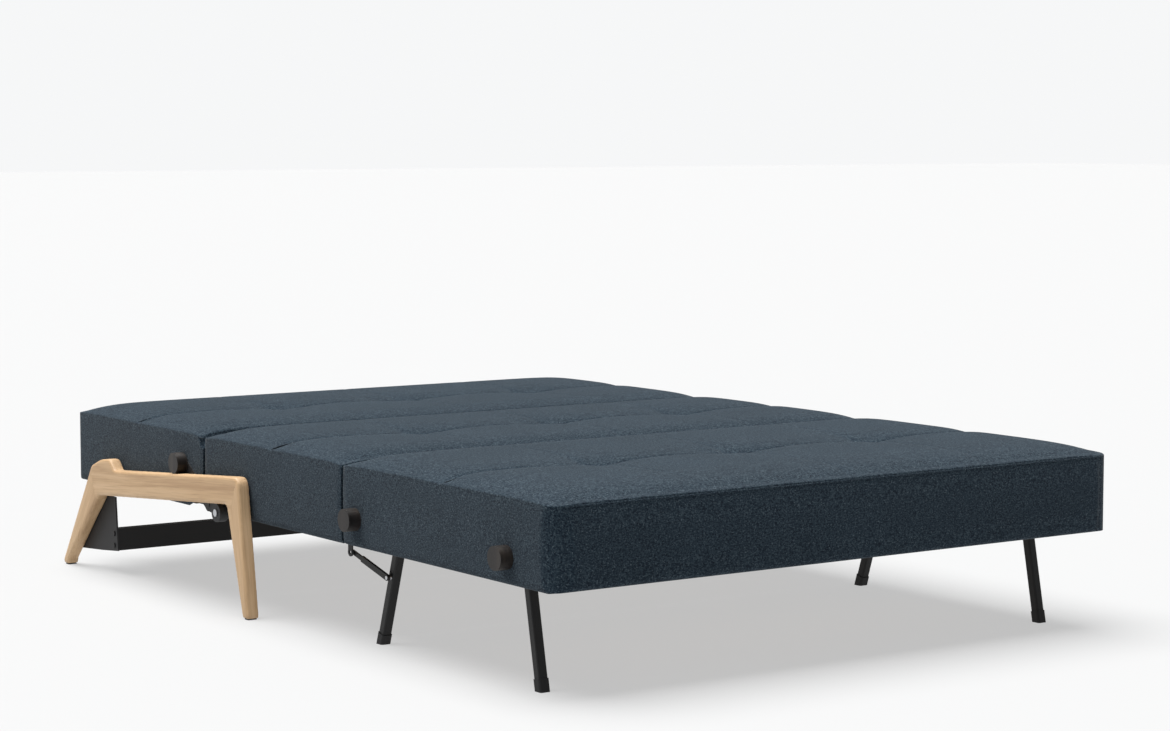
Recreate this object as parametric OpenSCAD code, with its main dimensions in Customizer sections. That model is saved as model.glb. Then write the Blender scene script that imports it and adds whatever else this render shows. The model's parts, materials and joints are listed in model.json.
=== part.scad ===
// Futon sofa bed, shown opened flat as a bed. Millimetres, +Z up.
// The origin is on the floor at the centre of the whole object; the head end is +Y.
// Three padded sections (back, seat, leaf) stand on two wooden trestles and four steel legs.

/* [Mattress] */
// Width of the padded sections
bed_w = 1398; // [1100:10:1700]
// Length of the back section, at the head end
back_len = 660; // [600:5:760]
// Length of the seat section, in the middle
seat_len = 605; // [560:5:680]
// Length of the leaf section, at the foot end
leaf_len = 735; // [700:5:860]
// Height of the mattress underside above the floor
under_z = 203.5; // [195:0.5:230]
// Thickness of the padded sections
pad_t = 165; // [140:1:200]
// Thickness of the woven cover
cover_t = 2; // [1:0.5:4]
// Width of the padded border beside the frame
border_w = 17; // [12:1:24]

/* [Wooden trestles] */
// Thickness of the wooden members
wood_t = 28; // [20:1:40]
// Length of the trestle, from the front foot to the rear foot
trestle_len = 940; // [900:5:1000]
// Depth of the sloping top rail
rail_h = 59.7; // [45:0.1:75]
// Slope of the top rail, down towards the head end
rail_slope = 4.5; // [2:0.1:6]

/* [Steel frame] */
// Width of the side and end rails
rail_w = 18; // [14:1:24]
// Height of the side and end rails
frame_h = 25; // [20:1:28]
// Thickness of the wooden slats
slat_t = 8; // [6:1:12]
// Width of one slat
slat_w = 60; // [40:1:80]
// Thickness of the flat steel plates
plate_t = 4; // [3:0.5:5]

/* [Folding legs] */
// Outside width of the square leg tube
tube_w = 20; // [16:1:24]
// Wall of the leg tube
tube_wall = 1.5; // [1:0.25:3]
// Backward splay of the rear pair
rear_splay = 18.3; // [10:0.1:24]
// Forward splay of the front pair
front_splay = 11.2; // [4:0.1:16]
// Distance from the leaf hinge to the feet of the rear pair
rear_foot_d = 40; // [30:1:60]
// Distance from the leaf hinge to the feet of the front pair
front_foot_d = 615; // [610:1:640]

/* [Knobs, rollers and travel] */
// Radius of the wooden knobs
knob_r = 23; // [18:0.5:26]
// Length of the wooden knobs
knob_l = 24; // [16:1:30]
// Radius of the guide rollers
roller_r = 20; // [16:0.5:22]
// Travel of the seat along the rails
slide_travel = 270; // [200:5:270]
// Radius of the back pivot pins
pin_r = 6; // [4:0.5:8]
// Radial clearance of every running fit
run_gap = 0.05; // [0.02:0.01:0.09]

/* [Hidden] */
$fn = 48;

// Colours.
oak = [0.77, 0.63, 0.47];
steel_black = [0.13, 0.13, 0.14];
plate_grey = [0.24, 0.24, 0.25];
zinc = [0.68, 0.69, 0.70];
knob_brown = [0.17, 0.15, 0.14];
cloth_blue = [0.20, 0.26, 0.31];
foam_cream = [0.90, 0.86, 0.72];
birch = [0.86, 0.76, 0.58];

// Places along the bed. The trestle's rear foot is the rearmost point of the object.
gap = 0.3;                      // between faces of pieces that move on each other
joint_gap = 5;                  // between the padded sections
tail = 20;                      // the rear feet stand out this far past the mattress
half_len = (back_len + seat_len + leaf_len + tail) / 2;
foot_end = -half_len;
hinge_y = foot_end + leaf_len;
joint_y = hinge_y + seat_len;
head_end = joint_y + back_len;
rear_y = half_len;

// Places across the bed.
side_x = bed_w / 2;
frame_gap = 10;                 // between the side rails and the padded border
cavity_x = side_x - border_w;
rail_x1 = cavity_x - frame_gap;
rail_x0 = rail_x1 - rail_w;
guide_x0 = side_x + 0.5;
guide_x1 = guide_x0 + plate_t;
knob_x0 = guide_x1 + 0.5;
wood_x0 = knob_x0 + 1;
wood_x1 = wood_x0 + wood_t;

// Heights.
hinge_z = under_z - 0.5;
frame_z0 = under_z + 3.5;
frame_z1 = frame_z0 + frame_h;
slat_z1 = frame_z1 + slat_t;
top_z = under_z + pad_t;

// Trestle outline in the Y-Z plane.
glide_t = 2;
front_foot_y = rear_y - trestle_len;
front_foot_w = 26;
corner_r = 22;
rail_top_z0 = 300;              // height of the rail's top at its front end
rail_front_y = front_foot_y + 42;
knee_d = 94;                     // from the front foot back to the inner corner of the front leg
tan_slope = tan(rail_slope);
function rail_top(y) = rail_top_z0 - (y - rail_front_y) * tan_slope;
function rail_under(y) = rail_top(y) - rail_h / cos(rail_slope);
rear_knee_y = rear_y - 202;     // where the rail's underside meets the rear leg
rear_back_y = rear_y - 168;     // the back of the rear leg at the top of the rail
horn_z = 20;                    // height of the horn above the rail's top

// Back pivot, guide roller and guide plate.
pivot_y = joint_y + 95;
pivot_z = rail_top(pivot_y) + (knob_r + gap) / cos(rail_slope);
roller_y = joint_y - 101;
roller_z = rail_under(roller_y) - (roller_r + gap) / cos(rail_slope);
bolt_z = (frame_z0 + frame_z1) / 2;
guide_bolt_ys = [joint_y - 60, joint_y - 25];
guide_w = 16;
axle_r = 5;
bolt_r = 4;
bolt_head_r = 7;
spacer_r = 9;
bush_r = pin_r + 3;
lug_x0 = rail_x1 + plate_t;
lug_x1 = lug_x0 + plate_t;
lug_w = 32;
pocket_gap = 2;

// Folding legs and strut. The strut's two pivots make the fold close at 0 and 180 degrees.
leg_x1 = rail_x0 - 15;
leg_x0 = leg_x1 - tube_w;
leg_z = under_z + 13.5;
rear_pivot_y = hinge_y - rear_foot_d - leg_z * tan(rear_splay);
front_pivot_y = hinge_y - front_foot_d + leg_z * tan(front_splay);
bearing_w = 20;
bearing_d = 28;
cross_r = 9;
cap_wall = 1.5;
cap_l = 24;
strut_arm = 79;                 // along the leg, from its pivot to the strut's pivot
strut_y = rear_pivot_y + strut_arm * sin(rear_splay);
strut_z = leg_z - strut_arm * cos(rear_splay);
strut_t = 6;
strut_w = 12;
tongue_w = 9;
tongue_l = 38;
rivet_r = 4;
bracket_t = 3;
bracket_x0 = rail_x0 - 1 - bracket_t;
bracket_w = 18;
bracket_z = under_z - 26.5;
strut_x0 = bracket_x0 - 1 - strut_t;
// The bracket's pivot lies as far from the strut's pivot folded as open.
folded_y = rear_pivot_y - strut_arm;
mirror_z = 2 * hinge_z - bracket_z;
bracket_a = strut_y;
bracket_b = 2 * hinge_y - folded_y;
bracket_y = (pow(bracket_b, 2) - pow(bracket_a, 2) + pow(leg_z - mirror_z, 2)
    - pow(strut_z - bracket_z, 2)) / (2 * (bracket_b - bracket_a));
strut_len = norm([bracket_y - strut_y, bracket_z - strut_z]);
strut_tilt = atan2(bracket_z - strut_z, bracket_y - strut_y);

// Leaf hinges.
hinge_xs = [side_x - 159, side_x - 99];
knuckle_r = 5.5;
hinge_pin_r = 3;
leaf_t = 3;
leaf_plate_l = 50;

// Extrudes an outline drawn in (Y, Z) along X.
module along_x(x0, x1) {
    translate([x0, 0, 0]) rotate([90, 0, 90]) linear_extrude(x1 - x0) children();
}

module both_sides() {
    children();
    mirror([1, 0, 0]) children();
}

// A round bar or bore along X.
module rod(x0, x1, y, z, r) {
    translate([x0, y, z]) rotate([0, 90, 0]) cylinder(h = x1 - x0, r = r);
}

module block(x0, x1, y0, y1, z0, z1) {
    translate([x0, y0, z0]) cube([x1 - x0, y1 - y0, z1 - z0]);
}

// A flat link with round eyes, through two or more points of the Y-Z plane. Its neck is a little narrower.
module link2d(points, w) {
    for (p = points) translate(p) circle(d = w);
    for (i = [1 : len(points) - 1]) {
        d = points[i] - points[i - 1];
        translate(points[i - 1]) rotate(atan2(d.y, d.x))
            translate([0, -w / 2 + neck_in]) square([norm(d), w - 2 * neck_in]);
    }
}
neck_in = 1;

// A quarter disc in the corner at p, opening towards the centre by (sy, sz).
module corner2d(p, r, sy, sz) {
    translate(p + [sy * r, sz * r]) intersection() {
        circle(r = r);
        translate([sy > 0 ? -r : 0, sz > 0 ? -r : 0]) square(r);
    }
}

// A rectangle with its own radius at each corner.
module rounded2d(y0, y1, z0, z1, low0, low1, top1, top0) {
    polygon([[y0 + low0, z0], [y1 - low1, z0], [y1, z0 + low1], [y1, z1 - top1],
             [y1 - top1, z1], [y0 + top0, z1], [y0, z1 - top0], [y0, z0 + low0]]);
    corner2d([y0, z0], low0, 1, 1);
    corner2d([y1, z0], low1, -1, 1);
    corner2d([y1, z1], top1, -1, -1);
    corner2d([y0, z1], top0, 1, -1);
}

// Trestle.
// The points of an arc of radius r that rounds the corner at p between a and b.
function unit(v) = v / norm(v);
function rounded_corner(a, p, b, r) =
    let (u = unit(a - p), v = unit(b - p), half = acos(u * v) / 2,
         c = p + unit(u + v) * r / sin(half),
         s = p + u * r / tan(half) - c, e = p + v * r / tan(half) - c,
         a0 = atan2(s.y, s.x), turn = (atan2(e.y, e.x) - a0 + 540) % 360 - 180)
    [for (i = [0 : arc_steps]) c + r * [cos(a0 + turn * i / arc_steps), sin(a0 + turn * i / arc_steps)]];
arc_steps = 6;

// Corners of the trestle's outline, each as [y, z, radius of its rounding].
trestle_corners = [
    [front_foot_y, glide_t, 3],
    [front_foot_y + front_foot_w, glide_t, 3],
    [front_foot_y + knee_d, rail_under(front_foot_y + knee_d), 12],
    [rear_knee_y, rail_under(rear_knee_y), 14],
    [rear_y - 30, 16, 8],
    [rear_y - 26, glide_t, 3],
    [rear_y - 4, glide_t, 3],
    [rear_y, 10, 4],
    [rear_back_y + 3, rail_top(rear_back_y) + 10, 22],
    [rear_back_y - 46, rail_top(rear_back_y) + horn_z + 8, 40],
    [rear_back_y - 96, rail_top(rear_back_y) + horn_z + 14, 18],
    [rear_back_y - 120, rail_top(rear_back_y - 120), 16],
    [rail_front_y, rail_top(rail_front_y), corner_r]];

module trestle_outline() {
    n = len(trestle_corners);
    flat = [for (c = trestle_corners) [c[0], c[1]]];
    polygon([for (i = [0 : n - 1])
        each rounded_corner(flat[(i + n - 1) % n], flat[i], flat[(i + 1) % n], trestle_corners[i][2])]);
}

// The trestle's joints run from an inner knee to the outside.
module front_part2d() {
    knee = front_foot_y + knee_d;
    polygon([[front_foot_y - 60, -10], [knee + 10, -10], [knee, rail_under(knee)],
             [rail_front_y - 4, rail_top_z0 + 12], [front_foot_y - 60, rail_top_z0 + 12]]);
}

module rear_part2d() {
    polygon([[rear_knee_y, rail_under(rear_knee_y)], [rear_knee_y, -10], [rear_y + 60, -10],
             [rear_y + 60, rail_top(rear_back_y) - 4], [rear_back_y + 12, rail_top(rear_back_y) - 4]]);
}

// Dowels across the two joints, each given by its centre and direction.
dowel_r = 5;
dowel_l = 40;
front_knee_y = front_foot_y + knee_d;
function up_rail(y, share) = rail_under(y) + share * (rail_top(y) - rail_under(y));
dowel_spots = [[front_knee_y - 22, up_rail(front_knee_y, 0.43), 42],
               [front_knee_y - 9, up_rail(front_knee_y, 0.17), 42],
               [rear_knee_y + 14, up_rail(rear_knee_y, 0.38), -32],
               [rear_knee_y + 30, up_rail(rear_knee_y, 0.8), -32]];

module dowels(r, l) {
    for (spot = dowel_spots)
        translate([(wood_x0 + wood_x1) / 2, spot[0], spot[1]])
            rotate([spot[2], 0, 0]) cylinder(h = l, r = r, center = true);
}

module wood_member(part) {
    color(oak) difference() {
        along_x(wood_x0, wood_x1) intersection() {
            trestle_outline();
            if (part == "front") front_part2d();
            if (part == "rear") rear_part2d();
            if (part == "rail") difference() {
                translate([front_foot_y - 60, -10]) square([trestle_len + 120, 400]);
                front_part2d();
                rear_part2d();
            }
        }
        dowels(dowel_r + 0.1, dowel_l + 2);
        if (part != "front") for (spot = screw_spots)
            rod(wood_x0 - 1, wood_x0 + screw_depth, spot.x, spot.y, screw_r);
    }
}

module left_front_leg() mirror([1, 0, 0]) wood_member("front");
module right_front_leg() wood_member("front");
module left_top_rail() mirror([1, 0, 0]) wood_member("rail");
module right_top_rail() wood_member("rail");
module left_rear_leg() mirror([1, 0, 0]) wood_member("rear");
module right_rear_leg() wood_member("rear");
module trestle_dowels() color(birch) both_sides() dowels(dowel_r, dowel_l);

module foot_glides() {
    glide_l = 16;
    color(steel_black) both_sides() for (y = [front_foot_y + 5, rear_y - 24])
        block(wood_x0 + 4, wood_x1 - 4, y, y + glide_l, 0, glide_t);
}

// Gusset plates on the inner faces of the rear legs, and the beam between them.
gusset_x1 = wood_x0;
gusset_x0 = wood_x0 - plate_t;
gusset_front_y = rear_y - 246;
beam_y0 = gusset_front_y + 6;
beam_w = 25;
beam_z0 = 58;
beam_h = 51;
beam_wall = 2;
screw_r = 2.5;
screw_depth = 16;
screw_spots = [[rear_y - 150, 160], [rear_y - 110, 118], [rear_y - 62, 72]];
beam_bolt_zs = [beam_z0 + 11, beam_z0 + 39];

module gusset() {
    color(plate_grey) difference() {
        along_x(gusset_x0, gusset_x1)
            polygon([[gusset_front_y + 11, 183], [gusset_front_y, beam_z0], [rear_y - 160, beam_z0 - 8],
                     [rear_y - 37, 41], [rear_y - 64, 86], [rear_knee_y + 24, 183]]);
        for (spot = screw_spots) rod(gusset_x0 - 1, gusset_x1 + 1, spot.x, spot.y, screw_r);
        for (z = beam_bolt_zs) rod(gusset_x0 - 1, gusset_x1 + 1, beam_y0 + beam_w / 2, z, bolt_r);
    }
}
module left_gusset() mirror([1, 0, 0]) gusset();
module right_gusset() gusset();

module gusset_screws() {
    color(zinc) both_sides() for (spot = screw_spots) {
        rod(gusset_x0 - 1.5, gusset_x0, spot.x, spot.y, 5);
        rod(gusset_x0, gusset_x1 + screw_depth - 1, spot.x, spot.y, screw_r);
    }
}

module cross_beam() {
    color(steel_black) difference() {
        block(-gusset_x0, gusset_x0, beam_y0, beam_y0 + beam_w, beam_z0, beam_z0 + beam_h);
        block(-gusset_x0 + 5, gusset_x0 - 5, beam_y0 + beam_wall, beam_y0 + beam_w - beam_wall,
              beam_z0 + beam_wall, beam_z0 + beam_h - beam_wall);
        both_sides() for (z = beam_bolt_zs)
            rod(gusset_x0 - 6, gusset_x0 + 1, beam_y0 + beam_w / 2, z, bolt_r);
    }
}

module beam_bolts() {
    color(steel_black) both_sides() for (z = beam_bolt_zs) {
        rod(gusset_x1, gusset_x1 + 2.5, beam_y0 + beam_w / 2, z, 6);
        rod(gusset_x0 - 12, gusset_x1, beam_y0 + beam_w / 2, z, bolt_r);
    }
}

// One padded section. The border hides the frame; the skirts close the two free ends.
module padding(y0, y1, radii, skirt0, skirt1, inset) {
    shrunk = [for (r = radii) max(r - inset, 1)];
    difference() {
        along_x(-side_x + inset, side_x - inset)
            rounded2d(y0 + inset, y1 - inset, under_z + inset, top_z - inset,
                      shrunk[0], shrunk[1], shrunk[2], shrunk[3]);
        block(-cavity_x - inset, cavity_x + inset,
              y0 + (skirt0 ? border_w + inset : -1), y1 - (skirt1 ? border_w + inset : -1),
              under_z - 1, slat_z1 + inset);
    }
}

back_y0 = joint_y + joint_gap / 2;
seat_y0 = hinge_y + joint_gap / 2;
seat_y1 = joint_y - joint_gap / 2;
leaf_y1 = hinge_y - joint_gap / 2;
// Corner radii: low front, low rear, top rear, top front.
back_radii = [88, 14, 24, 54];
seat_radii = [3, 3, 24, 24];
leaf_radii = [16, 3, 24, 24];

module back_pad(inset) padding(back_y0, head_end, back_radii, false, true, inset);
module seat_pad(inset) padding(seat_y0, seat_y1, seat_radii, false, false, inset);
module leaf_pad(inset) padding(foot_end, leaf_y1, leaf_radii, true, false, inset);

// Rails, slats and bores of one section's frame.
module side_rails(y0, y1) both_sides() block(rail_x0, rail_x1, y0, y1, frame_z0, frame_z1);
module end_rails(y0, y1) for (y = [y0, y1 - rail_w]) block(-rail_x0, rail_x0, y, y + rail_w, frame_z0, frame_z1);
module slats(first, last, count) {
    color(birch) for (i = [0 : count - 1]) {
        y = first + (last - first) * i / (count - 1);
        block(-rail_x1, rail_x1, y - slat_w / 2, y + slat_w / 2, frame_z1, slat_z1);
    }
}

// Seat section.
seat_frame = [seat_y0 + 8, seat_y1 - 8];
module seat_side_rails() {
    color(steel_black) difference() {
        side_rails(seat_frame[0], seat_frame[1]);
        both_sides() for (y = guide_bolt_ys) rod(rail_x0 - 1, rail_x1 + 1, y, bolt_z, bolt_r);
    }
}
module seat_end_rails() color(steel_black) end_rails(seat_frame[0], seat_frame[1]);
module seat_slats() slats(seat_frame[0] + 45, seat_frame[1] - 45, 5);
module seat_foam() {
    color(foam_cream) difference() {
        seat_pad(cover_t);
        both_sides() for (y = guide_bolt_ys) rod(cavity_x - 2, side_x + 1, y, bolt_z, spacer_r + 1);
    }
}
module seat_cover() {
    color(cloth_blue) difference() {
        seat_pad(0);
        seat_pad(cover_t);
        both_sides() for (y = guide_bolt_ys) rod(cavity_x - 2, side_x + 1, y, bolt_z, spacer_r + 1);
    }
}

// Guide plates beside the seat carry the back pivots and the rollers.
module guide_plates() {
    color(plate_grey) both_sides() difference() {
        along_x(guide_x0, guide_x1)
            link2d([[roller_y, roller_z], [guide_bolt_ys[1], bolt_z], [pivot_y, pivot_z]], 2 * guide_w);
        rod(guide_x0 - 1, guide_x1 + 1, roller_y, roller_z, axle_r);
        rod(guide_x0 - 1, guide_x1 + 1, pivot_y, pivot_z, pin_r);
        for (y = guide_bolt_ys) rod(guide_x0 - 1, guide_x1 + 1, y, bolt_z, bolt_r);
    }
}
module guide_spacers() {
    color(zinc) both_sides() for (y = guide_bolt_ys) difference() {
        rod(rail_x1, guide_x0, y, bolt_z, spacer_r);
        rod(rail_x1 - 1, guide_x0 + 1, y, bolt_z, bolt_r);
    }
}
module guide_bolts() {
    color(steel_black) both_sides() for (y = guide_bolt_ys) {
        rod(rail_x0 + 2, guide_x1, y, bolt_z, bolt_r);
        rod(guide_x1, guide_x1 + 1.2, y, bolt_z, bolt_head_r);
    }
}
module pivot_pins() {
    color(zinc) both_sides() rod(lug_x0 - 1, knob_x0 + 14, pivot_y, pivot_z, pin_r);
}
module knob(y, z, bore) {
    difference() {
        rod(knob_x0, knob_x0 + knob_l, y, z, knob_r);
        rod(knob_x0 - 1, knob_x0 + 14, y, z, bore);
    }
}
module pivot_knobs() color(knob_brown) both_sides() knob(pivot_y, pivot_z, pin_r);
module roller_axles() {
    color(zinc) both_sides() {
        rod(guide_x0, knob_x0 + 20.5, roller_y, roller_z, axle_r);
        rod(knob_x0 + 20.5, knob_x0 + 22.5, roller_y, roller_z, axle_r + 3);
    }
}
module guide_rollers() {
    color(plate_grey) both_sides() difference() {
        rod(knob_x0, knob_x0 + 20, roller_y, roller_z, roller_r);
        rod(knob_x0 - 1, knob_x0 + 21, roller_y, roller_z, axle_r + run_gap);
    }
}

// Hanging plates that hold the struts under the seat.
module strut_brackets() {
    color(plate_grey) both_sides() difference() {
        union() {
            along_x(bracket_x0, bracket_x0 + bracket_t)
                link2d([[bracket_y, bracket_z], [bracket_y, frame_z1 - bracket_w / 2 - 1]], bracket_w);
            block(bracket_x0 + bracket_t, rail_x0, bracket_y - 8, bracket_y + 8, frame_z0 + 2, frame_z1 - 4);
        }
        rod(bracket_x0 - 1, rail_x0, bracket_y, bracket_z, rivet_r);
    }
}

// Leaf hinges, at the underside of the seat and the leaf.
module knuckle(x0, x1, bore) {
    difference() {
        union() {
            rod(x0, x1, hinge_y, hinge_z, knuckle_r);
            children();
        }
        rod(x0 - 1, x1 + 1, hinge_y, hinge_z, bore);
    }
}
knuckle_l = 15;
knuckle_side = 7;
module seat_hinge_leaves() {
    z0 = frame_z0 - leaf_t;
    color(zinc) both_sides() {
        block(hinge_xs[0], hinge_xs[1], hinge_y + knuckle_side, hinge_y + leaf_plate_l, z0, frame_z0);
        for (x = [hinge_xs[0], hinge_xs[1] - knuckle_l])
            knuckle(x, x + knuckle_l, hinge_pin_r + run_gap)
                block(x, x + knuckle_l, hinge_y, hinge_y + knuckle_side, z0, frame_z0);
    }
}
module leaf_hinge_leaves() {
    z0 = frame_z0 - leaf_t;
    x0 = hinge_xs[0] + knuckle_l + 0.5;
    x1 = hinge_xs[1] - knuckle_l - 0.5;
    color(zinc) both_sides() {
        block(hinge_xs[0], hinge_xs[1], hinge_y - leaf_plate_l, hinge_y - knuckle_side, z0, frame_z0);
        knuckle(x0, x1, hinge_pin_r) block(x0, x1, hinge_y - knuckle_side, hinge_y, z0, frame_z0);
    }
}
module hinge_pins() {
    color(zinc) both_sides() rod(hinge_xs[0] - 2, hinge_xs[1] + 2, hinge_y, hinge_z, hinge_pin_r);
}

// Back section.
back_frame = [joint_y + 30, head_end - border_w - 6];
module back_side_rails() color(steel_black) side_rails(back_frame[0], back_frame[1]);
module back_end_rails() color(steel_black) end_rails(back_frame[0], back_frame[1]);
module back_slats() slats(back_frame[0] + 60, back_frame[1] - 45, 5);
module back_openings() {
    both_sides() {
        rod(lug_x0 - 1, side_x + 1, pivot_y, pivot_z, pin_r + 1.5);
        block(lug_x0 - pocket_gap, cavity_x + 1, pivot_y - lug_w / 2 - pocket_gap,
              pivot_y + lug_w / 2 + pocket_gap, slat_z1 - 2, pivot_z + lug_w / 2 + pocket_gap);
    }
}
module back_foam() {
    color(foam_cream) difference() {
        back_pad(cover_t);
        back_openings();
    }
}
module back_cover() {
    color(cloth_blue) difference() {
        back_pad(0);
        back_pad(cover_t);
        back_openings();
    }
}
module pivot_lugs() {
    color(plate_grey) both_sides() difference() {
        union() {
            along_x(lug_x0, lug_x1) {
                translate([pivot_y, pivot_z]) circle(d = lug_w);
                translate([pivot_y - lug_w / 2, frame_z0]) square([lug_w, pivot_z - frame_z0]);
            }
            block(rail_x1, lug_x0, pivot_y - lug_w / 2, pivot_y + lug_w / 2, frame_z0, frame_z1);
        }
        rod(lug_x0 - 1, lug_x1 + 1, pivot_y, pivot_z, bush_r);
    }
}
module pivot_bushes() {
    color(birch) both_sides() difference() {
        rod(lug_x0, lug_x1, pivot_y, pivot_z, bush_r);
        rod(lug_x0 - 1, lug_x1 + 1, pivot_y, pivot_z, pin_r + run_gap);
    }
}

// Leaf section.
leaf_frame = [foot_end + border_w + 6, hinge_y - 8];
knob_spots = [[hinge_y - 55, under_z + 56.5], [foot_end + 130, under_z + 51.5]];
knob_bolt_r = 4;
module leaf_side_rails() color(steel_black) side_rails(leaf_frame[0], leaf_frame[1]);
module leaf_end_rails() color(steel_black) end_rails(leaf_frame[0], leaf_frame[1]);
// The slat nearest the hinge carries the rear legs' bearings and leaves room for the folded struts.
module leaf_slats() slats(front_pivot_y - 95, rear_pivot_y - tube_w / 2 - 3, 6);
module knob_bores() {
    both_sides() for (spot = knob_spots) rod(side_x - 60, side_x + 1, spot.x, spot.y, knob_bolt_r);
}
module leaf_foam() {
    color(foam_cream) difference() {
        leaf_pad(cover_t);
        knob_bores();
    }
}
module leaf_cover() {
    color(cloth_blue) difference() {
        leaf_pad(0);
        leaf_pad(cover_t);
        knob_bores();
    }
}
module leaf_knobs() {
    color(knob_brown) both_sides() for (spot = knob_spots) difference() {
        rod(side_x, knob_x0 + knob_l, spot.x, spot.y, knob_r);
        rod(side_x - 1, side_x + 14, spot.x, spot.y, knob_bolt_r);
    }
}
module leaf_knob_bolts() {
    color(zinc) both_sides() for (spot = knob_spots) rod(side_x - 60, side_x + 14, spot.x, spot.y, knob_bolt_r);
}
// Bearing blocks under the slats hold the cross tubes of the legs.
module leg_bearings() {
    x1 = leg_x0 - 14;
    color(steel_black) both_sides() for (y = [rear_pivot_y, front_pivot_y]) difference() {
        block(x1 - bearing_w, x1, y - bearing_d / 2, y + bearing_d / 2, leg_z - cross_r - 2.5, frame_z1);
        rod(x1 - bearing_w - 1, x1 + 1, y, leg_z, cross_r + run_gap);
    }
}

// A leg in its own frame: the pivot at the origin, the tube down -Z.
module square_tube(w, r, z0, z1) {
    translate([0, 0, z0]) linear_extrude(z1 - z0) rounded2d(-w / 2, w / 2, -w / 2, w / 2, r, r, r, r);
}
module leg_place(pivot, tilt) {
    translate([(leg_x0 + leg_x1) / 2, pivot, leg_z]) rotate([tilt, 0, 0]) children();
}
module leg_tubes(pivot, tilt, rivet) {
    len = leg_z / cos(tilt);
    color(steel_black) both_sides() difference() {
        leg_place(pivot, tilt) difference() {
            square_tube(tube_w, 4, -len + 7, tube_w / 2);
            square_tube(tube_w - 2 * tube_wall, 2.5, -len + 6, tube_w / 2 + 1);
        }
        if (rivet) rod(leg_x0 + tube_wall + 0.5, leg_x1 + 1, strut_y, strut_z, rivet_r);
    }
}
module leg_caps(pivot, tilt) {
    len = leg_z / cos(tilt);
    color(steel_black) both_sides() difference() {
        leg_place(pivot, tilt) difference() {
            square_tube(tube_w + 2 * cap_wall, 5, -len - 8, -len + cap_l);
            square_tube(tube_w, 4, -len + 7, -len + cap_l + 1);
        }
        block(leg_x0 - 10, leg_x1 + 10, pivot - 400, pivot + 400, -40, 0);
    }
}
module leg_cross_tube(pivot) {
    color(steel_black) difference() {
        rod(-leg_x0, leg_x0, pivot, leg_z, cross_r);
        rod(-leg_x0 - 1, leg_x0 + 1, pivot, leg_z, cross_r - tube_wall);
    }
}
module rear_leg_tubes() leg_tubes(rear_pivot_y, rear_splay, true);
module rear_leg_cross_tube() leg_cross_tube(rear_pivot_y);
module rear_leg_caps() leg_caps(rear_pivot_y, rear_splay);
module front_leg_tubes() leg_tubes(front_pivot_y, -front_splay, false);
module front_leg_cross_tube() leg_cross_tube(front_pivot_y);
module front_leg_caps() leg_caps(front_pivot_y, -front_splay);
module strut_rivets() {
    color(zinc) both_sides() {
        rod(leg_x0 + tube_wall + 1, strut_x0 + strut_t + 0.3, strut_y, strut_z, rivet_r);
        rod(leg_x1, strut_x0 - 0.3, strut_y, strut_z, rivet_r + 2);
    }
}

// Struts from the rear legs to the seat's brackets, with a flattened tongue at the seat end.
module support_struts() {
    color(steel_black) both_sides() difference() {
        union() {
            translate([0, strut_y, strut_z]) rotate([strut_tilt, 0, 0]) {
                rod(strut_x0, strut_x0 + strut_t, 0, 0, strut_w / 2);
                block(strut_x0, strut_x0 + strut_t, 0, strut_len - tongue_l, -strut_w / 2, strut_w / 2);
                block(strut_x0 + 1, strut_x0 + strut_t - 1, strut_len - tongue_l - 2, strut_len,
                      -tongue_w / 2, tongue_w / 2);
                rod(strut_x0 + 1, strut_x0 + strut_t - 1, strut_len, 0, tongue_w / 2);
            }
        }
        rod(strut_x0 - 1, strut_x0 + strut_t + 1, strut_y, strut_z, rivet_r + run_gap);
        rod(strut_x0 - 1, strut_x0 + strut_t + 1, bracket_y, bracket_z, 2.5);
    }
}

left_front_leg();
right_front_leg();
left_top_rail();
right_top_rail();
left_rear_leg();
right_rear_leg();
trestle_dowels();
foot_glides();
left_gusset();
right_gusset();
gusset_screws();
cross_beam();
beam_bolts();
seat_side_rails();
seat_end_rails();
seat_slats();
seat_foam();
seat_cover();
guide_plates();
guide_spacers();
guide_bolts();
pivot_pins();
pivot_knobs();
roller_axles();
guide_rollers();
strut_brackets();
seat_hinge_leaves();
back_side_rails();
back_end_rails();
back_slats();
back_foam();
back_cover();
pivot_lugs();
pivot_bushes();
leaf_side_rails();
leaf_end_rails();
leaf_slats();
leaf_foam();
leaf_cover();
leaf_knobs();
leaf_knob_bolts();
leaf_hinge_leaves();
hinge_pins();
leg_bearings();
rear_leg_tubes();
rear_leg_cross_tube();
rear_leg_caps();
strut_rivets();
front_leg_tubes();
front_leg_cross_tube();
front_leg_caps();
support_struts();
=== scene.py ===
"""Looks of the futon sofa bed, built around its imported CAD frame. Metres, in the CAD's own frame."""
import json
import math

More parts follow.
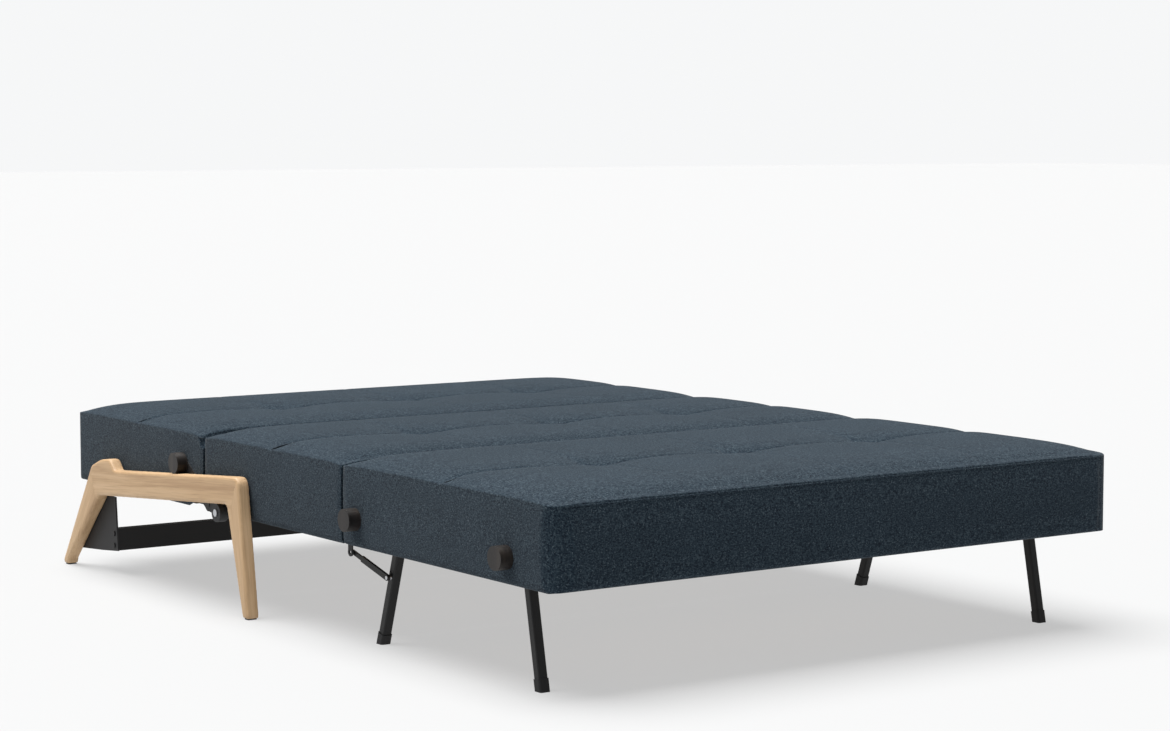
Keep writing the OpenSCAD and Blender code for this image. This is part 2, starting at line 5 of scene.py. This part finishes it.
import bmesh
import bpy
import numpy as np
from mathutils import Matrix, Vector


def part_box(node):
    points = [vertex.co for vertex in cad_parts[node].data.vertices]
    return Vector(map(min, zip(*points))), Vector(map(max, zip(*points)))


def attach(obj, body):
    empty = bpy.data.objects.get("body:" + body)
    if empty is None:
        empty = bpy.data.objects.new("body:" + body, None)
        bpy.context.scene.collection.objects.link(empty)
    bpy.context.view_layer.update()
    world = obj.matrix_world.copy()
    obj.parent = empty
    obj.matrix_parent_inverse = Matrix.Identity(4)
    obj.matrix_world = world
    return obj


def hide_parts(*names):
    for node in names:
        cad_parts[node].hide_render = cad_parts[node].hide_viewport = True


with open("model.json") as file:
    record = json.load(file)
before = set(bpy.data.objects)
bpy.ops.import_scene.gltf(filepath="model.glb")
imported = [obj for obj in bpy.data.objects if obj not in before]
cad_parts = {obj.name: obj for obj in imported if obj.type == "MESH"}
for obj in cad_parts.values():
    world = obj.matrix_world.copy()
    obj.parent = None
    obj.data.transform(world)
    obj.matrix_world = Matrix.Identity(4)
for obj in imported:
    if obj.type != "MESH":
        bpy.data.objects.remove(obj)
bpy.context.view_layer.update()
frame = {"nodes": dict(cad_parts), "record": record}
nodes = frame["nodes"]

CUSHION_VOXEL = 0.009
WOOD_VOXEL = 0.0028
SWELL_CAP = 0.007             # how far the cloth simulation may move a point
SWELL_FRAMES = 14
RIM_HELD = 0.030              # band along the edges that the simulation leaves where it is
SEAM_HEIGHT = 0.1575          # height of the top edge seam above the underside
CROWN = 0.0262                # how far the pillow rises above that seam
DIMPLE_X = (-0.35, 0.0, 0.35)
END_BELLY = 0.008             # how far a free end swells past the CAD cover
SIDE_BELLY = 0.0030           # how far the sides do, between the trestles
SEAM_BELLY = 0.15             # share of the belly left at the seam and the hem
SKIN = 0.011                  # points this near a face of the foam belong to that face
HEM_RADIUS = 0.015
HEM_ROLL = 0.009              # how far the hem rolls under
FREE_CORNER = 0.042           # radius of the vertical corners at a free end
JOINT_CORNER = 0.009
FREE_WELT_BEND = 0.040        # radius of the seam's path round those corners
JOINT_WELT_BEND = 0.010
WELT_RADIUS = 0.0020
WELT_INSET = 0.0030
THREAD_RADIUS = 0.0013
END_STRETCH = 0.014           # the free ends are longer than the foam inside


# ---------------------------------------------------------------- camera, floor and light

def make_camera():
    """A long lens, a little above the mattress, from the near side of the foot end."""
    data = bpy.data.cameras.new("camera")
    data.sensor_width = 36.0
    data.lens = 84.18
    data.clip_end = 200.0
    camera = bpy.data.objects.new("camera", data)
    bpy.context.scene.collection.objects.link(camera)
    camera.location = (-3.39862, -5.02006, 1.02881)
    camera.rotation_euler = (math.radians(90.0 - 4.896), 0.0, math.radians(-34.75))
    bpy.context.scene.camera = camera


def make_stage():
    """A wide pale floor that glows a little, so it reads as a seamless sweep with a soft shadow."""
    mesh = bpy.data.meshes.new("floor")
    reach = 60.0
    corners = [(-reach, -reach, 0), (reach, -reach, 0), (reach, reach, 0), (-reach, reach, 0)]
    mesh.from_pydata(corners, [], [(0, 1, 2, 3)])
    floor = bpy.data.objects.new("floor", mesh)
    bpy.context.scene.collection.objects.link(floor)
    material = bpy.data.materials.new("floor_paint")
    material.use_nodes = True
    shader = material.node_tree.nodes["Principled BSDF"]
    shader.inputs["Base Color"].default_value = (0.21, 0.211, 0.212, 1)
    shader.inputs["Emission Color"].default_value = (0.99, 0.995, 1.0, 1)
    shader.inputs["Emission Strength"].default_value = 0.505
    shader.inputs["Roughness"].default_value = 0.9
    shader.inputs["Specular IOR Level"].default_value = 0.1
    mesh.materials.append(material)


def make_world():
    """A studio dome: white round the horizon, dim above it, bright overhead."""
    world = bpy.data.worlds.new("studio")
    bpy.context.scene.world = world
    world.use_nodes = True
    tree = world.node_tree
    coords = tree.nodes.new("ShaderNodeTexCoord")
    split = tree.nodes.new("ShaderNodeSeparateXYZ")
    ramp = tree.nodes.new("ShaderNodeValToRGB")
    stops = ramp.color_ramp
    places = (0.0, 0.07, 0.13, 0.75, 1.0)
    values = (0.930, 0.930, 0.11, 0.20, 0.45)
    for place in places[1:-1]:
        stops.elements.new(place)
    for element, place, value in zip(stops.elements, places, values):
        element.position = place
        element.color = (value * 0.993, value, value * 1.006, 1)
    tree.links.new(coords.outputs["Generated"], split.inputs["Vector"])
    tree.links.new(split.outputs["Z"], ramp.inputs["Fac"])
    tree.links.new(ramp.outputs["Color"], tree.nodes["Background"].inputs["Color"])


def make_lights():
    """One broad overhead sun, tipped to the near side, lights object and floor evenly."""
    data = bpy.data.lights.new("overhead", "SUN")
    data.angle = math.radians(56)
    data.energy = 6.1
    data.color = (1.0, 0.995, 0.985)
    lamp = bpy.data.objects.new("overhead", data)
    bpy.context.scene.collection.objects.link(lamp)
    lamp.rotation_euler = Vector((0.15, -0.20, -1.0)).to_track_quat("-Z", "Y").to_euler()
    bpy.context.scene.view_settings.view_transform = "Standard"


# ---------------------------------------------------------------- materials

class Shade:
    """A small helper that builds one node material."""

    def __init__(self, name, **sockets):
        self.material = bpy.data.materials.new(name)
        self.material.use_nodes = True
        self.tree = self.material.node_tree
        self.shader = self.tree.nodes["Principled BSDF"]
        for key, value in sockets.items():
            self.shader.inputs[key.replace("_", " ")].default_value = value
        self.coords = self.tree.nodes.new("ShaderNodeTexCoord").outputs["Object"]

    def node(self, kind, **props):
        made = self.tree.nodes.new(kind)
        for key, value in props.items():
            setattr(made, key, value)
        return made

    def link(self, a, b):
        self.tree.links.new(a, b)

    def mapped(self, scale=(1, 1, 1), rotation=(0, 0, 0)):
        turn = self.node("ShaderNodeMapping")
        turn.inputs["Rotation"].default_value = rotation
        stretch = self.node("ShaderNodeMapping")
        stretch.inputs["Scale"].default_value = scale
        self.link(self.coords, turn.inputs["Vector"])
        self.link(turn.outputs["Vector"], stretch.inputs["Vector"])
        return stretch.outputs["Vector"]

    def noise(self, vector, scale, detail=3.0, roughness=0.55, distortion=0.0):
        made = self.node("ShaderNodeTexNoise")
        made.inputs["Scale"].default_value = scale
        made.inputs["Detail"].default_value = detail
        made.inputs["Roughness"].default_value = roughness
        made.inputs["Distortion"].default_value = distortion
        self.link(vector, made.inputs["Vector"])
        return made.outputs["Fac"]

    def ramp(self, factor, stops):
        made = self.node("ShaderNodeValToRGB")
        ramp = made.color_ramp
        while len(ramp.elements) < len(stops):
            ramp.elements.new(0.5)
        for element, (place, colour) in zip(ramp.elements, stops):
            element.position = place
            element.color = (*colour, 1) if len(colour) == 3 else colour
        self.link(factor, made.inputs["Fac"])
        return made.outputs["Color"]

    def math(self, operation, a, b):
        made = self.node("ShaderNodeMath", operation=operation)
        for socket, value in zip(made.inputs, (a, b)):
            if isinstance(value, (int, float)):
                socket.default_value = value
            else:
                self.link(value, socket)
        return made.outputs[0]

    def mix(self, factor, a, b, blend="MIX"):
        made = self.node("ShaderNodeMix", data_type="RGBA", blend_type=blend)
        for index, value in ((0, factor), (6, a), (7, b)):
            if isinstance(value, (int, float)):
                made.inputs[index].default_value = value
            elif isinstance(value, tuple):
                made.inputs[index].default_value = (*value, 1)
            else:
                self.link(value, made.inputs[index])
        return made.outputs[2]

    def bump(self, height, strength, distance):
        made = self.node("ShaderNodeBump")
        made.inputs["Strength"].default_value = strength
        made.inputs["Distance"].default_value = distance
        self.link(height, made.inputs["Height"])
        self.link(made.outputs["Normal"], self.shader.inputs["Normal"])

    def colour(self, socket):
        self.link(socket, self.shader.inputs["Base Color"])

    def rough(self, factor, low, high):
        made = self.node("ShaderNodeMapRange")
        made.inputs["To Min"].default_value = low
        made.inputs["To Max"].default_value = high
        self.link(factor, made.inputs["Value"])
        self.link(made.outputs["Result"], self.shader.inputs["Roughness"])


def fabric_material():
    """Heathered navy-slate weave: dark and mid threads both ways, with pale flecks."""
    s = Shade("fabric", Roughness=0.95, Sheen_Weight=0.10, Sheen_Roughness=0.45, Specular_IOR_Level=0.12)
    across = s.noise(s.mapped((90, 620, 620)), 1.0, 2.0)
    along = s.noise(s.mapped((620, 90, 620)), 1.0, 2.0)
    upright = s.noise(s.mapped((620, 620, 90)), 1.0, 2.0)
    threads = s.math("MULTIPLY", s.math("ADD", s.math("ADD", across, along), upright), 0.3333)
    slubs = s.noise(s.mapped((1, 1, 1.5)), 230.0, 2.0, 0.7)
    blend = s.math("ADD", s.math("MULTIPLY", threads, 0.5), s.math("MULTIPLY", slubs, 0.5))
    base = s.ramp(blend, [(0.41, (0.0036, 0.0086, 0.0168)), (0.50, (0.0140, 0.0258, 0.0385)),
                          (0.59, (0.042, 0.0625, 0.079))])
    fleck = s.ramp(s.noise(s.mapped((1, 1, 1)), 360.0, 1.0), [(0.62, (0, 0, 0)), (0.72, (1, 1, 1))])
    cloudy = s.ramp(s.noise(s.mapped(), 6.0, 2.0), [(0.3, (0.90, 0.90, 0.90)), (0.7, (1.0, 1.0, 1.0))])
    flecked = s.mix(s.math("MULTIPLY", fleck, 0.6), base, (0.108, 0.142, 0.165))
    s.colour(s.mix(1.0, flecked, cloudy, "MULTIPLY"))
    s.bump(blend, 0.6, 0.0014)
    return s.material


def wood_material(name, tilt, dark=False):
    """Straight grain along a member that lies at tilt (radians) from +Y towards +Z."""
    s = Shade(name, Specular_IOR_Level=0.35)
    turned = s.mapped((26, 1.3, 26), (-tilt, 0, 0))
    wide = s.noise(turned, 1.6, 4.0, 0.6, 0.35)
    fine = s.noise(s.mapped((420, 9, 420), (-tilt, 0, 0)), 1.0, 3.0, 0.6)
    if dark:
        stops = [(0.30, (0.006, 0.005, 0.0045)), (0.52, (0.014, 0.011, 0.010)),
                 (0.72, (0.034, 0.027, 0.022))]
    else:
        stops = [(0.28, (0.42, 0.265, 0.140)), (0.50, (0.545, 0.365, 0.205)),
                 (0.74, (0.62, 0.44, 0.265))]
    pores = s.ramp(fine, [(0.30, (0.80, 0.76, 0.72)), (0.52, (1, 1, 1))])
    s.colour(s.mix(1.0, s.ramp(wide, stops), pores, "MULTIPLY"))
    s.rough(fine, 0.38, 0.56)
    s.bump(fine, 0.25, 0.0004)
    return s.material


def metal_material(name, colour, rough, metallic=0.0, grain=900.0):
    """Powder coat, zinc plate or moulded plastic: a fine speckle over slow tone changes."""
    s = Shade(name, Metallic=metallic, Specular_IOR_Level=0.5 if metallic else 0.32)
    speck = s.noise(s.mapped(), grain, 2.0)
    broad = s.noise(s.mapped(), 9.0, 3.0)
    low = tuple(c * 0.86 for c in colour)
    high = tuple(min(c * 1.14, 1.0) for c in colour)
    s.colour(s.ramp(broad, [(0.3, low), (0.7, high)]))
    s.rough(broad, rough - 0.06, rough + 0.06)
    s.bump(speck, 0.18, 0.0002)
    return s.material


def thread_and_groove_shade_material():
    """Near-black twisted sewing thread; its dark colour also paints the shade in the groove of the cross
    seam.
    """
    s = Shade("seam_thread_and_groove_shade", Roughness=0.85, Specular_IOR_Level=0.2)
    twist = s.noise(s.mapped((900, 300, 300)), 1.0, 2.0)
    # Painted shade: these near-black colours stand for the shadow in the seam groove as well as the
    # thread's own colour.
    s.colour(s.ramp(twist, [(0.35, (0.004, 0.006, 0.009)), (0.65, (0.012, 0.018, 0.025))]))
    s.bump(twist, 0.4, 0.0004)
    return s.material


def foam_material():
    """Open-celled cream foam."""
    s = Shade("foam_cells", Roughness=0.95)
    cells = s.noise(s.mapped(), 700.0, 2.0)
    s.colour(s.ramp(cells, [(0.35, (0.62, 0.55, 0.38)), (0.65, (0.82, 0.76, 0.58))]))
    s.bump(cells, 0.5, 0.0006)
    return s.material


def dress_cad_nodes():
    """Gives every CAD node the material of its slot, and softens the edges of hard parts."""
    slot_of = {row["node"]: row["material_slot"] for row in frame["record"]["subparts"]}
    looks = {
        "oak": wood_material("oak_plain", 0.0),
        "birch": wood_material("birch_slat", 0.0),
        "dark_wood": wood_material("dark_wood", math.radians(90), dark=True),
        "black_steel": metal_material("black_powder_coat", (0.0065, 0.0065, 0.007), 0.48),
        "grey_steel": metal_material("grey_powder_coat", (0.017, 0.0175, 0.019), 0.55),
        "zinc": metal_material("zinc_plate", (0.52, 0.53, 0.55), 0.34, metallic=1.0),
        "black_plastic": metal_material("black_plastic", (0.010, 0.010, 0.011), 0.55, grain=400.0),
        "roller_plastic": metal_material("roller_plastic", (0.028, 0.028, 0.030), 0.58, grain=400.0),
        "foam": foam_material(),
        "fabric": fabric_material(),
    }
    soft_edges = {"pivot_knobs": 0.0028, "leaf_knobs": 0.0028, "guide_rollers": 0.0018,
                  "beam_bolts": 0.0008, "left_gusset": 0.0008, "right_gusset": 0.0008,
                  "cross_beam": 0.0012, "support_struts": 0.0008, "guide_plates": 0.0006,
                  "strut_brackets": 0.0006, "rear_leg_caps": 0.0010, "front_leg_caps": 0.0010}
    for name, obj in nodes.items():
        obj.data.materials.clear()
        obj.data.materials.append(looks[slot_of[name]])
        if name in soft_edges:
            bevel = obj.modifiers.new("edge", "BEVEL")
            bevel.width = soft_edges[name]
            bevel.segments = 3
            bevel.limit_method = "ANGLE"
            bevel.angle_limit = math.radians(40)
    return looks


# ---------------------------------------------------------------- mesh helpers

def joined_copy(name, sources):
    """One new object with the world-space geometry of several CAD nodes."""
    build = bmesh.new()
    for source in sources:
        part = nodes[source].data.copy()
        part.transform(nodes[source].matrix_world)
        build.from_mesh(part)
        bpy.data.meshes.remove(part)
    bmesh.ops.remove_doubles(build, verts=build.verts, dist=1e-6)
    mesh = bpy.data.meshes.new(name)
    build.to_mesh(mesh)
    build.free()
    obj = bpy.data.objects.new(name, mesh)
    bpy.context.scene.collection.objects.link(obj)
    return obj


def bake_modifiers(obj):
    """Replaces an object's mesh by the result of its modifiers."""
    graph = bpy.context.evaluated_depsgraph_get()
    baked = bpy.data.meshes.new_from_object(obj.evaluated_get(graph))
    obj.modifiers.clear()
    old = obj.data
    obj.data = baked
    bpy.data.meshes.remove(old)


def voxel_remesh(obj, size):
    remesh = obj.modifiers.new("remesh", "REMESH")
    remesh.mode = "VOXEL"
    remesh.voxel_size = size
    remesh.use_smooth_shade = True
    bake_modifiers(obj)


def smooth(obj, factor, rounds):
    soften = obj.modifiers.new("smooth", "SMOOTH")
    soften.factor = factor
    soften.iterations = rounds
    bake_modifiers(obj)


def get_points(obj):
    flat = np.empty(len(obj.data.vertices) * 3)
    obj.data.vertices.foreach_get("co", flat)
    return flat.reshape(-1, 3)


def set_points(obj, points):
    obj.data.vertices.foreach_set("co", points.reshape(-1))
    obj.data.update()


def shade_smooth(obj):
    obj.data.polygons.foreach_set("use_smooth", [True] * len(obj.data.polygons))


# ---------------------------------------------------------------- cushions

def swell(obj, held):
    """Inflates a cushion a little by cloth simulation; the held vertices stay where they are."""
    start = get_points(obj).copy()
    pins = obj.vertex_groups.new(name="held")
    pins.add([int(i) for i in np.nonzero(held)[0]], 1.0, "REPLACE")
    cloth = obj.modifiers.new("cloth", "CLOTH")
    settings = cloth.settings
    settings.quality = 4
    settings.mass = 0.3
    settings.tension_stiffness = 12
    settings.compression_stiffness = 12
    settings.bending_stiffness = 0.6
    settings.use_pressure = True
    settings.uniform_pressure_force = 4.0
    settings.vertex_group_mass = "held"
    settings.effector_weights.gravity = 0.0
    cloth.collision_settings.use_collision = False
    cloth.point_cache.frame_start = 1
    cloth.point_cache.frame_end = SWELL_FRAMES
    scene = bpy.context.scene
    for step in range(1, SWELL_FRAMES + 1):
        scene.frame_set(step)
    bake_modifiers(obj)
    scene.frame_set(1)
    obj.vertex_groups.clear()
    moved = get_points(obj) - start
    length = np.linalg.norm(moved, axis=1, keepdims=True)
    moved *= np.minimum(1.0, SWELL_CAP / np.maximum(length, 1e-9))
    set_points(obj, start + moved)


def step_up(value, low, high):
    """Smooth 0 to 1 as value runs from low to high."""
    t = np.clip((value - low) / (high - low), 0, 1)
    return t * t * (3 - 2 * t)


def groove(distance, width):
    """1 on a line, fading to 0 away from it."""
    return np.exp(-(distance / width) ** 2)


def pillow_height(x, y, half_x, y0, y1, open0, open1):
    """Height of the quilted top above the edge seam: a crown, pinched along the cross seam."""
    middle = (y0 + y1) / 2
    side = np.maximum(half_x - np.abs(x), 0)
    rise = 1 - np.exp(-side / 0.036)
    for distance, is_open in ((np.maximum(y - y0, 0), open0), (np.maximum(y1 - y, 0), open1)):
        if is_open:
            rise = rise * (1 - np.exp(-distance / 0.036))
        else:
            rise = rise * (0.30 + 0.70 * (1 - np.exp(-(distance / 0.034) ** 1.3)))
    near_mid = np.abs(y - middle)
    # The cross seam dips to each dimple and arches back up between them.
    spacing = DIMPLE_X[2] - DIMPLE_X[1]
    arch = 1 - np.abs(np.sin(np.pi * x / spacing)) ** 0.75
    arch = np.where(np.abs(x) > 1.5 * spacing, 0, arch)
    height = CROWN * rise * (1 - 0.62 * arch * np.exp(-(near_mid / 0.060) ** 1.15)
                             - 0.20 * np.exp(-(near_mid / 0.035) ** 2))
    for centre in DIMPLE_X:
        reach = np.hypot(x - centre, y - middle)
        angle = np.arctan2(y - middle, x - centre)
        height -= 0.0060 * np.exp(-reach / 0.022)
        # Faint creases run out from each dimple.
        creases = 0.5 + 0.5 * np.cos(5 * angle + centre * 9)
        height -= 0.0020 * np.exp(-((reach - 0.06) / 0.05) ** 2) * creases
        height -= 0.0011 * groove(x - centre, 0.007) * step_up(near_mid, 0.02, 0.06) * rise
    height -= 0.0060 * groove(near_mid, 0.0065) * rise
    return height


def round_corner(points, half_x, y_end, radius, inward):
    """Pulls the vertical corner at y_end in to a radius; inward is +1 or -1 along Y."""
    dx = np.abs(points[:, 0]) - (half_x - radius)
    dy = (y_end + inward * radius - points[:, 1]) * inward
    far = np.hypot(np.maximum(dx, 0), np.maximum(dy, 0))
    over = (dx > 0) & (dy > 0) & (far > radius)
    scale = radius / far[over]
    points[over, 0] = np.sign(points[over, 0]) * (half_x - radius + dx[over] * scale)
    points[over, 1] = y_end + inward * (radius - dy[over] * scale)


def make_cushion(section, body, open0, open1, material):
    """Quilted cushion of one section; returns the line of its edge seam.

    open0 and open1 say whether its low-Y and high-Y ends are free ends.
    """
    name = section + "_cushion"
    obj = joined_copy(name, [section + "_foam"])
    (x0, y0, z0), (x1, y1, z1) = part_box(section + "_cover")
    half_x = (x1 - x0) / 2
    voxel_remesh(obj, CUSHION_VOXEL)
    points = get_points(obj)
    cavity_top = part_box(section + "_slats")[1][2] + 0.006
    cavity_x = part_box(section + "_slats")[1][0] + 0.013
    # The frame's pocket and the rim keep their lines, so the broad faces swell between firm edges.
    held = (points[:, 2] < cavity_top) & (np.abs(points[:, 0]) < cavity_x + 0.008)
    held |= points[:, 2] < z0 + 0.012
    held |= np.abs(points[:, 0]) > half_x - RIM_HELD
    for edge in (y0, y1):
        held |= np.abs(points[:, 1] - edge) < RIM_HELD
    swell(obj, held)
    split = obj.modifiers.new("finer", "SUBSURF")
    split.levels = 1
    split.render_levels = 1
    bake_modifiers(obj)
    points = get_points(obj)
    # The quilted top, laid over the swollen shape.
    seam_z = z0 + SEAM_HEIGHT
    on_top = step_up(points[:, 2], seam_z - 0.030, seam_z - 0.004)
    target = seam_z + pillow_height(points[:, 0], points[:, 1], half_x, y0, y1, open0, open1)
    settle = np.minimum(points[:, 2] - (z1 - 0.002), 0.004)
    lifted = target + 0.35 * np.clip(settle, -0.002, 0.004)
    top_cap = (points[:, 2] > z1 - 0.016)
    points[:, 2] = np.where(top_cap, on_top * lifted + (1 - on_top) * points[:, 2], points[:, 2])
    # Side faces: fullest at mid height, drawn in at the seam, rolled under at the hem.
    part_up = np.clip((points[:, 2] - z0) / SEAM_HEIGHT, 0, 1)
    belly = SEAM_BELLY + (1 - SEAM_BELLY) * np.sin(np.pi * part_up) ** 0.8
    below = np.clip(HEM_RADIUS - (points[:, 2] - z0), 0, HEM_RADIUS)
    roll = np.minimum(HEM_RADIUS - np.sqrt(HEM_RADIUS ** 2 - below ** 2), HEM_ROLL)
    outer = np.abs(points[:, 0]) > half_x - SKIN
    rim = outer.copy()
    points[outer, 0] = (np.sign(points[:, 0]) * (half_x - 0.001 + SIDE_BELLY * belly - roll))[outer]
    for edge, sign, is_open in ((y0, 1, open0), (y1, -1, open1)):
        near = np.abs(points[:, 1] - edge) < SKIN
        if is_open:
            rim |= near
            points[near, 1] = (edge + sign * (0.001 - END_BELLY * belly + roll))[near]
        else:
            points[near, 1] = edge + sign * 0.0008
        round_corner(points, half_x + SIDE_BELLY, edge, FREE_CORNER if is_open else JOINT_CORNER, sign)
    points[:, 2] = np.maximum(points[:, 2], z0 + 0.0006)
    low_rim = rim & (points[:, 2] < z0 + 0.02)
    points[low_rim, 2] -= 0.003
    middle = (y0 + y1) / 2
    reach = np.clip((np.abs(points[:, 1] - middle) - 0.06) / ((y1 - y0) / 2 - 0.06), 0, 1)
    if open0:
        points[:, 1] -= END_STRETCH * np.where(points[:, 1] < middle, reach, 0)
    if open1:
        points[:, 1] += END_STRETCH * np.where(points[:, 1] > middle, reach, 0)
    set_points(obj, points)
    smooth(obj, 0.5, 2)
    shade_smooth(obj)
    obj.data.materials.clear()
    obj.data.materials.append(material)
    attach(obj, body)
    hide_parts(section + "_foam", section + "_cover")
    past = END_STRETCH + 0.003
    return (half_x + SEAM_BELLY * SIDE_BELLY, y0 - (past if open0 else 0),
            y1 + (past if open1 else 0), seam_z)


def tube_piece(name, body, path, radius, closed, material):
    """A thin round piece along a path of 3-D points, riding on a body."""
    build = bmesh.new()
    rings = []
    count = len(path)
    sides = 8
    for i, place in enumerate(path):
        ahead = path[(i + 1) % count] if closed or i + 1 < count else place
        behind = path[i - 1] if closed or i else place
        along = (ahead - behind).normalized()
        across = along.cross(Vector((0, 0, 1))).normalized()
        up = across.cross(along)
        turns = [2 * math.pi * k / sides for k in range(sides)]
        rings.append([build.verts.new(place + radius * (across * math.cos(a) + up * math.sin(a)))
                      for a in turns])
    for i in range(count if closed else count - 1):
        here, there = rings[i], rings[(i + 1) % count]
        for k in range(sides):
            build.faces.new((here[k], there[k], there[(k + 1) % sides], here[(k + 1) % sides]))
    if not closed:
        build.faces.new(rings[0][::-1])
        build.faces.new(rings[-1])
    bmesh.ops.recalc_face_normals(build, faces=build.faces)
    mesh = bpy.data.meshes.new(name)
    build.to_mesh(mesh)
    build.free()
    obj = bpy.data.objects.new(name, mesh)
    bpy.context.scene.collection.objects.link(obj)
    shade_smooth(obj)
    mesh.materials.append(material)
    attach(obj, body)


def make_welt(section, body, shape, open0, open1, material):
    """The raised seam round the top edge of one section, as a thin closed tube."""
    half_x, y0, y1, seam_z = shape
    path = []
    corners = ((1, y0, 1, open0), (1, y1, -1, open1), (-1, y1, -1, open1), (-1, y0, 1, open0))
    for index, (side, y_end, inward, is_open) in enumerate(corners):
        bend = FREE_WELT_BEND if is_open else JOINT_WELT_BEND
        centre_x = side * (half_x - WELT_INSET - bend)
        centre_y = y_end + inward * (WELT_INSET + bend)
        for step in range(9):
            angle = math.radians(-90 + 90 * index + 90 * step / 8)
            path.append(Vector((centre_x + bend * math.cos(angle), centre_y + bend * math.sin(angle),
                                seam_z)))
    tube_piece(section + "_welt", body, path, WELT_RADIUS, True, material)


def make_cross_seam(section, body, shape, open0, open1, material):
    """The dark stitched line that runs across the middle of the pillow, over its surface; its darkness
    also paints the shade in the seam groove.
    """
    half_x, y0, y1, seam_z = shape
    middle = (y0 + y1) / 2
    xs = np.linspace(-half_x + 0.004, half_x - 0.004, 281)
    heights = pillow_height(xs, np.full_like(xs, middle), half_x, y0, y1, open0, open1)
    path = [Vector((x, middle, seam_z + h + 0.0022)) for x, h in zip(xs, heights)]
    tube_piece(section + "_cross_seam", body, path, THREAD_RADIUS, False, material)


# ---------------------------------------------------------------- trestles

def make_trestle(side, front, rail, rear):
    """The three members of one trestle as one sanded shape, with the grain along each member."""
    members = [side + "_front_leg", side + "_top_rail", side + "_rear_leg"]
    obj = joined_copy(side + "_trestle", members)
    voxel_remesh(obj, WOOD_VOXEL)
    smooth(obj, 0.5, 14)
    shade_smooth(obj)
    boxes = [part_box(member) for member in members]
    knee_front = boxes[0][1][1] - 0.02
    knee_rear = boxes[2][0][1] + 0.02
    obj.data.materials.clear()
    for material in (front, rail, rear):
        obj.data.materials.append(material)
    for face in obj.data.polygons:
        y, z = face.center[1], face.center[2]
        lean = (z - 0.24) * 0.45
        if y < knee_front - lean - 0.005:
            face.material_index = 0
        elif y > knee_rear + lean + 0.02:
            face.material_index = 2
        else:
            face.material_index = 1
    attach(obj, "base")
    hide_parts(*members)


make_camera()
make_stage()
make_world()
make_lights()
looks = dress_cad_nodes()
thread_and_groove_shade = thread_and_groove_shade_material()
for section, open0, open1 in (("back", False, True), ("seat", False, False), ("leaf", True, False)):
    shape = make_cushion(section, section, open0, open1, looks["fabric"])
    make_welt(section, section, shape, open0, open1, looks["fabric"])
    make_cross_seam(section, section, shape, open0, open1, thread_and_groove_shade)
grain = [wood_material("oak_front_leg", math.radians(81)), wood_material("oak_rail", math.radians(-4.5)),
         wood_material("oak_rear_leg", math.radians(-55))]
for side in ("left", "right"):
    make_trestle(side, *grain)
